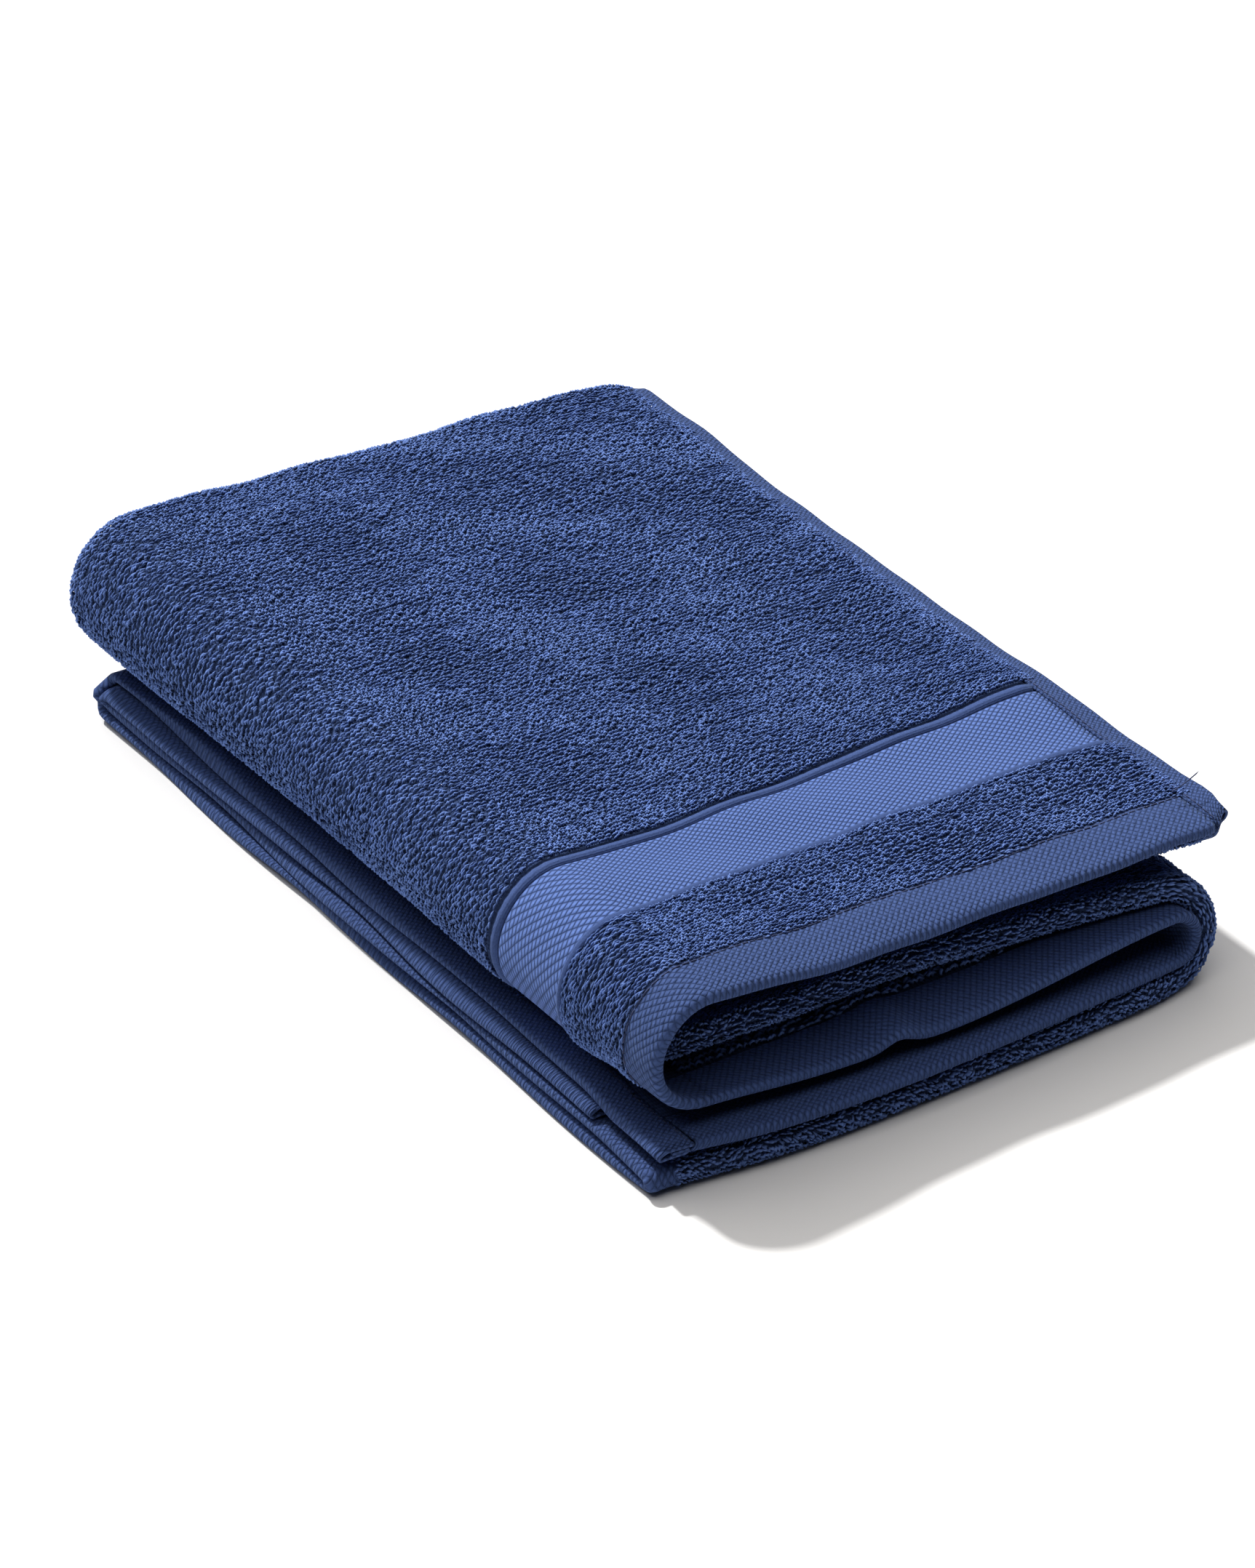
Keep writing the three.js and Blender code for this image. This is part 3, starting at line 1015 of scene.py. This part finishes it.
class TOWEL_OT_pile(bpy.types.Operator):
    """Makes the loops of the terry"""

    bl_idname = "towel.pile"
    bl_label = "Pile"

    def execute(self, context):
        edge = 0.0006
        first, last = SIDE_SEAM - 0.0060, ACROSS - SIDE_SEAM + 0.003
        body = PILE_START + edge
        half = (first + 0.2) / 2
        strip = (STRIP_START - 0.0020, STRIP_END - edge)
        inside = (STRIP_START - 0.0012, PILE_START + 0.03)
        end_turn = BACK_LEG + 0.014
        near_turn = (NEAR_FOLD - 0.014, FORTH_LEG + 0.012)
        flat = (end_turn, near_turn[0])
        fold = (FOLD_LEG - 0.012, BOTTOM_LEG + 0.012)
        pile("upper_pile_edge", (first, half), (body, FAR_FOLD))
        pile("upper_pile_middle", (half, 0.2), (body, FAR_FOLD))
        pile("upper_pile_roll", (0.2, MIDDLE_LEG), (body, FAR_FOLD), reach=0.8)
        pile("upper_pile_strip", (first, MIDDLE_LEG), strip)
        pile("upper_pile_far_turn", (first, MIDDLE_LEG), (FAR_FOLD, end_turn))
        pile("upper_pile_near_turn", (first, MIDDLE_LEG), near_turn, chaos=0.8, close=0.64)
        pile("upper_pile_under", (first, MIDDLE_LEG), flat, loop=HIDDEN_LOOP, scale=1.6, pitch=2.0)
        pile("lower_pile_roll", (MIDDLE_LEG, MIDDLE_LEG + 0.014), (body, FAR_FOLD))
        pile("lower_pile_far_turn", (MIDDLE_LEG, last), (FAR_FOLD, end_turn), scale=1.1, pitch=1.15)
        pile("lower_pile_near_turn", (MIDDLE_LEG, last), near_turn, chaos=0.8, close=0.64)
        pile("lower_pile_right_fold", fold, flat, scale=1.15, pitch=1.18)
        pile("lower_pile_left_edge", (last - 0.016, last), (body, FAR_FOLD))
        pile("lower_pile_inside", (MIDDLE_LEG, fold[0]), flat, loop=HIDDEN_LOOP, scale=1.6, pitch=2.0)
        pile("lower_pile_under", (fold[1], last), flat, loop=HIDDEN_LOOP, scale=1.7, pitch=2.5)
        pile("lower_pile_strip", (MIDDLE_LEG, BOTTOM_LEG + 0.02), inside, side=-1, scale=1.4, pitch=1.6)
        return {"FINISHED"}


def zone_nodes(stretches, zone):
    return [f"{stretch}_{zone}" for stretch in stretches]


UPPER_NODES = ("top_panel", "left_roll")
LOWER_NODES = ("middle_panel", "right_fold", "bottom_panel")


class TOWEL_OT_bodies(bpy.types.Operator):
    bl_idname = "towel.bodies"
    bl_label = "Bodies"

    def execute(self, context):
        pieces = {o.name: o for o in context.scene.objects if o.type == "MESH"}
        for stretch, panels, inner in (("upper", UPPER_NODES, "top"), ("lower", LOWER_NODES, "base")):
            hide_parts(*zone_nodes(panels, "terry"))
            for zone, node in (("strip", "end_strip"), ("border", "border"), ("hem", "end_hem")):
                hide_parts(*zone_nodes(panels, node))
                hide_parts(f"{inner}_inner_{node}")
            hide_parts(f"{inner}_end_seam")
        for stretch, side in (("upper", "top"), ("lower", "bottom")):
            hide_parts(f"{side}_side_hem")
            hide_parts(f"{side}_side_seam")
        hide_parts("thread_tail")
        for stretch, flat in (("upper", FLAT_UPPER), ("lower", FLAT_LOWER)):
            going = [o for name, o in pieces.items() if name.startswith(stretch)]
            for piece in going:
                if stretch == "upper":
                    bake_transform(piece)
                else:
                    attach(piece, "base")
        return {"FINISHED"}


OPERATORS = (
    TOWEL_OT_stage,
    TOWEL_OT_cloth,
    TOWEL_OT_borders,
    TOWEL_OT_hems,
    TOWEL_OT_seams,
    TOWEL_OT_pile,
    TOWEL_OT_bodies,
)


class TOWEL_PT_panel(bpy.types.Panel):
    """Lists the steps that build the towel"""

    bl_label = "Towel"
    bl_idname = "TOWEL_PT_panel"
    bl_space_type = "VIEW_3D"
    bl_region_type = "UI"
    bl_category = "Towel"

    def draw(self, context):
        for settings in (context.scene.towel_sizes, context.scene.towel_colours):
            for name in settings.bl_rna.properties.keys():
                if name not in ("rna_type", "name"):
                    self.layout.prop(settings, name)
        for operator in OPERATORS:
            self.layout.operator(operator.bl_idname)


CLASSES = (TowelSizes, TowelColours, *OPERATORS, TOWEL_PT_panel)


def register():
    for each in CLASSES:
        bpy.utils.register_class(each)
    bpy.types.Scene.towel_sizes = PointerProperty(type=TowelSizes)
    bpy.types.Scene.towel_colours = PointerProperty(type=TowelColours)


def unregister():
    del bpy.types.Scene.towel_sizes
    del bpy.types.Scene.towel_colours
    for each in reversed(CLASSES):
        bpy.utils.unregister_class(each)


def main():
    register()
    for operator in OPERATORS:
        group, step = operator.bl_idname.split(".")
        getattr(getattr(bpy.ops, group), step)()
    bpy.context.view_layer.update()


if __name__ == "__main__":
    main()
